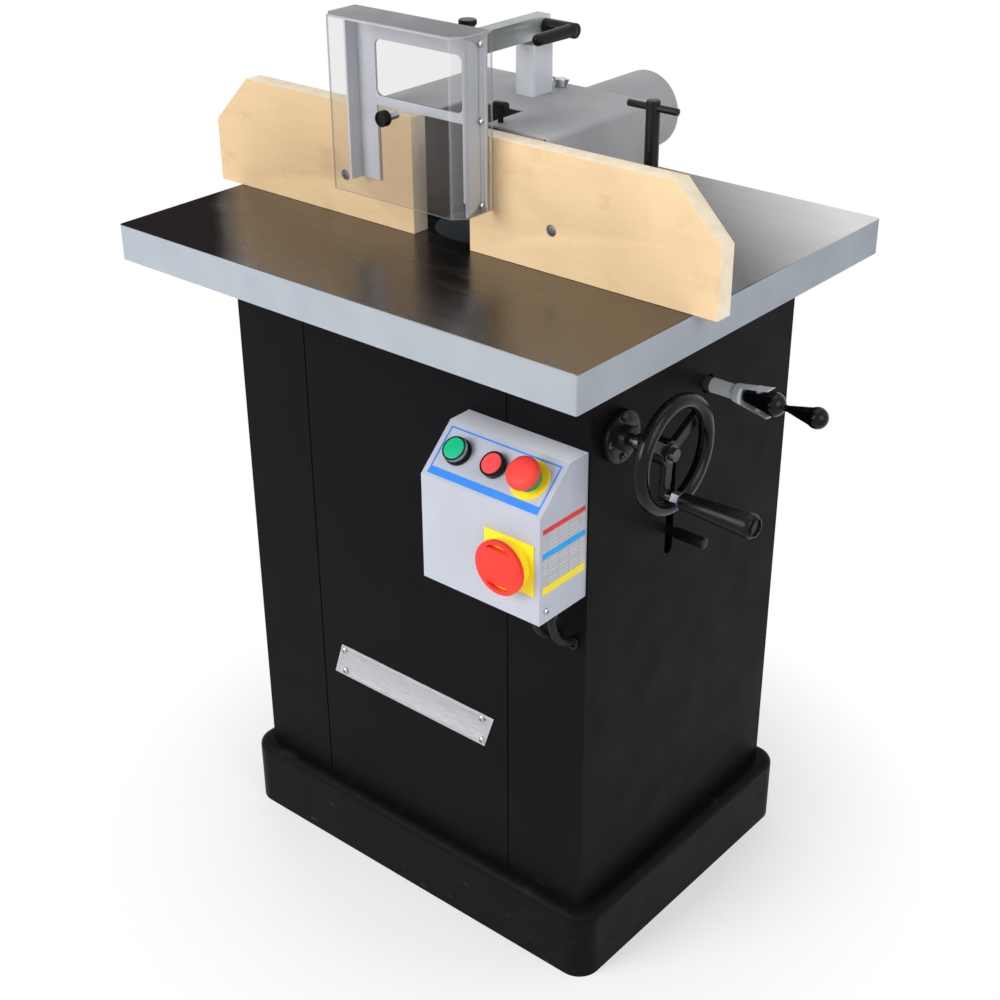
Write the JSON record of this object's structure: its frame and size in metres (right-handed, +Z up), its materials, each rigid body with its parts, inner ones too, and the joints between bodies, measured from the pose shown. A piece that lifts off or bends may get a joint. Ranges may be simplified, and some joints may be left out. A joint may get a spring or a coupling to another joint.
{
  "type": "spindle moulder",
  "caption": "Floor-standing spindle moulder: sheet cabinet, cast table, rising belt-driven spindle, wooden fence with dust hood, clear tilting guard, handwheel, switch box and rear door.",
  "frame": {"origin": "middle of the plinth's underside, on the floor", "axes": "+X to the operator's right, +Y to the back of the machine, +Z up"},
  "size_m": [0.8513, 0.6, 1.157],
  "materials": {
    "black_paint": "satin",
    "table_iron": "ground",
    "plate_metal": "brushed",
    "box_grey": "satin",
    "black_plastic": "satin",
    "yellow_plastic": "gloss",
    "green_plastic": "gloss",
    "red_plastic": "gloss",
    "cable_rubber": "matt",
    "bright_steel": "turned",
    "zinc": "plated",
    "cast_grey": "as cast",
    "motor_paint": "satin",
    "belt_rubber": "matt",
    "sheet_grey": "satin",
    "beech": "planed",
    "black_steel": "satin",
    "clear_sheet": "clear"
  },
  "bodies": {
    "base": {"plinth": "black_paint", "cabinet_front": "black_paint", "cabinet_left": "black_paint", "cabinet_right": "black_paint", "rear_panel": "black_paint", "table": "table_iron", "name_plate": "plate_metal", "body_screws": "bright_steel", "control_box": "box_grey", "button_bezels": "black_plastic", "legend_plates": "yellow_plastic", "cable_glands": "black_plastic", "cables": "cable_rubber", "shaft_flange": "black_steel", "guide_blocks": "cast_grey", "gear_bracket": "cast_grey"},
    "handwheel": {"handwheel": "black_plastic", "handwheel_shaft": "bright_steel"},
    "grip": {"handwheel_grip": "black_plastic"},
    "lead": {"leadscrew": "bright_steel", "driven_bevel": "bright_steel"},
    "carriage": {"carriage_plate": "cast_grey", "guide_columns": "bright_steel", "quill": "cast_grey", "spindle_bearings": "bright_steel", "motor": "motor_paint", "drive_belt": "belt_rubber"},
    "rotor": {"motor_pulley": "cast_grey"},
    "spindle": {"spindle": "bright_steel", "spindle_pulley": "cast_grey", "spindle_collars": "bright_steel", "spindle_nut": "bright_steel"},
    "spindle_lock": {"lock_pin": "black_steel"},
    "height_lock": {"lock_screw": "bright_steel"},
    "height_lever": {"lock_lever": "black_plastic"},
    "fence": {"hood": "sheet_grey", "dust_pipe": "sheet_grey", "guard_post": "sheet_grey"},
    "wing": {"wing_nut": "bright_steel"},
    "board_left": {"fence_board_left": "beech", "fence_plate_left": "black_steel"},
    "board_right": {"fence_board_right": "beech", "fence_plate_right": "black_steel"},
    "board_knob_left": {"fence_knob_left": "black_plastic"},
    "board_knob_right": {"fence_knob_right": "black_plastic"},
    "clamp_left": {"clamp_screw_left": "black_steel"},
    "clamp_right": {"clamp_screw_right": "black_steel"},
    "arm": {"guard_arm": "zinc"},
    "guard": {"guard_frame": "sheet_grey", "guard_shield": "clear_sheet", "guard_screws": "bright_steel"},
    "arm_lever": {"clamp_lever": "black_plastic"},
    "arm_screw": {"arm_knob": "black_plastic"},
    "guard_screw": {"guard_knob": "black_plastic"},
    "start": {"start_button": "green_plastic"},
    "stop": {"stop_button": "red_plastic"},
    "estop": {"estop_button": "red_plastic"},
    "switch": {"main_switch": "red_plastic"},
    "door": {"rear_door": "black_paint"},
    "latch": {"door_latch": "black_plastic"}
  },
  "joints": [
    {"name": "handwheel_turn", "type": "hinge", "parent": "base", "child": "handwheel", "pos_m": [0.357, -0.1575, 0.75], "axis": [-1, 0, 0], "range_deg": [0, 6120]},
    {"name": "grip_spin", "type": "hinge", "parent": "handwheel", "child": "grip", "pos_m": [0.415, -0.16099, 0.70012], "axis": [1, 0, 0], "continuous": true},
    {"name": "lead_screw_turn", "type": "hinge", "parent": "base", "child": "lead", "pos_m": [0.15, -0.1575, 0.6], "axis": [0, 0, -1], "range_deg": [0, 6120]},
    {"name": "carriage_lift", "type": "slide", "parent": "base", "child": "carriage", "axis": [0, 0, 1], "range_m": [0, 0.085]},
    {"name": "spindle_spin", "type": "hinge", "parent": "carriage", "child": "spindle", "pos_m": [0, -0.047, 0.6], "axis": [0, 0, 1], "continuous": true},
    {"name": "motor_spin", "type": "hinge", "parent": "carriage", "child": "rotor", "pos_m": [0, 0.1245, 0.48], "axis": [0, 0, 1], "continuous": true},
    {"name": "spindle_lock_push", "type": "slide", "parent": "carriage", "child": "spindle_lock", "axis": [-1, 0, 0], "range_m": [0, 0.012]},
    {"name": "height_lock_turn", "type": "hinge", "parent": "base", "child": "height_lock", "pos_m": [0.25, 0.02, 0.75], "axis": [1, 0, 0], "range_deg": [-45, 45]},
    {"name": "height_lever_fold", "type": "hinge", "parent": "height_lock", "child": "height_lever", "pos_m": [0.352, 0.02, 0.75], "axis": [0, 0, 1], "range_deg": [-45, 90]},
    {"name": "start_press", "type": "slide", "parent": "base", "child": "start", "axis": [0, 0.6856, -0.728], "range_m": [0, 0.004], "stiffness_N_per_m": 800},
    {"name": "stop_press", "type": "slide", "parent": "base", "child": "stop", "axis": [0, 0.6856, -0.728], "range_m": [0, 0.004], "stiffness_N_per_m": 800},
    {"name": "estop_press", "type": "slide", "parent": "base", "child": "estop", "axis": [0, 0.6856, -0.728], "range_m": [0, 0.005], "stiffness_N_per_m": 1200},
    {"name": "switch_turn", "type": "hinge", "parent": "base", "child": "switch", "pos_m": [0.2365, -0.3, 0.632], "axis": [0, -1, 0], "range_deg": [0, 90]},
    {"name": "fence_slide", "type": "slide", "parent": "base", "child": "fence", "axis": [0, 1, 0], "range_m": [0, 0.03]},
    {"name": "board_left_slide", "type": "slide", "parent": "fence", "child": "board_left", "axis": [-1, 0, 0], "range_m": [-0.03, 0.02]},
    {"name": "board_right_slide", "type": "slide", "parent": "fence", "child": "board_right", "axis": [1, 0, 0], "range_m": [-0.03, 0.02]},
    {"name": "board_knob_left_turn", "type": "hinge", "parent": "board_left", "child": "board_knob_left", "pos_m": [-0.18, -0.086, 0.97], "axis": [0, 1, 0], "range_deg": [-180, 180]},
    {"name": "board_knob_right_turn", "type": "hinge", "parent": "board_right", "child": "board_knob_right", "pos_m": [0.18, -0.086, 0.97], "axis": [0, 1, 0], "range_deg": [-180, 180]},
    {"name": "clamp_left_turn", "type": "hinge", "parent": "base", "child": "clamp_left", "pos_m": [-0.224, -0.032, 1], "axis": [0, 0, 1], "range_deg": [-90, 90]},
    {"name": "clamp_right_turn", "type": "hinge", "parent": "base", "child": "clamp_right", "pos_m": [0.224, -0.032, 1], "axis": [0, 0, 1], "range_deg": [-90, 90]},
    {"name": "wing_nut_turn", "type": "hinge", "parent": "fence", "child": "wing", "pos_m": [0.009, 0.08, 1.05], "axis": [0, 0, 1], "range_deg": [-180, 180]},
    {"name": "arm_tilt", "type": "hinge", "parent": "fence", "child": "arm", "pos_m": [0, 0.048, 1.122], "axis": [-1, 0, 0], "range_deg": [0, 65]},
    {"name": "arm_lever_turn", "type": "hinge", "parent": "fence", "child": "arm_lever", "pos_m": [0.03, 0.048, 1.122], "axis": [-1, 0, 0], "range_deg": [0, 60]},
    {"name": "guard_reach", "type": "slide", "parent": "arm", "child": "guard", "axis": [0, -1, 0], "range_m": [0, 0.05]},
    {"name": "arm_knob_turn", "type": "hinge", "parent": "arm", "child": "arm_screw", "pos_m": [0, -0.079, 1.14], "axis": [0, 0, 1], "range_deg": [-180, 180]},
    {"name": "guard_knob_turn", "type": "hinge", "parent": "guard", "child": "guard_screw", "pos_m": [-0.03, -0.184, 1.056], "axis": [0, 1, 0], "range_deg": [-180, 180]},
    {"name": "door_swing", "type": "hinge", "parent": "base", "child": "door", "pos_m": [-0.2635, 0.2128, 0.4], "axis": [0, 0, 1], "range_deg": [0, 110]},
    {"name": "latch_turn", "type": "hinge", "parent": "door", "child": "latch", "pos_m": [0.2405, 0.205, 0.4], "axis": [0, -1, 0], "range_deg": [0, 90]}
  ],
  "couplings": [
    {"joint": "lead_screw_turn", "follows": "carriage_lift", "rad_per_m": 1256.6},
    {"joint": "handwheel_turn", "follows": "carriage_lift", "rad_per_m": 1256.6},
    {"joint": "motor_spin", "follows": "spindle_spin", "ratio": 0.8}
  ]
}
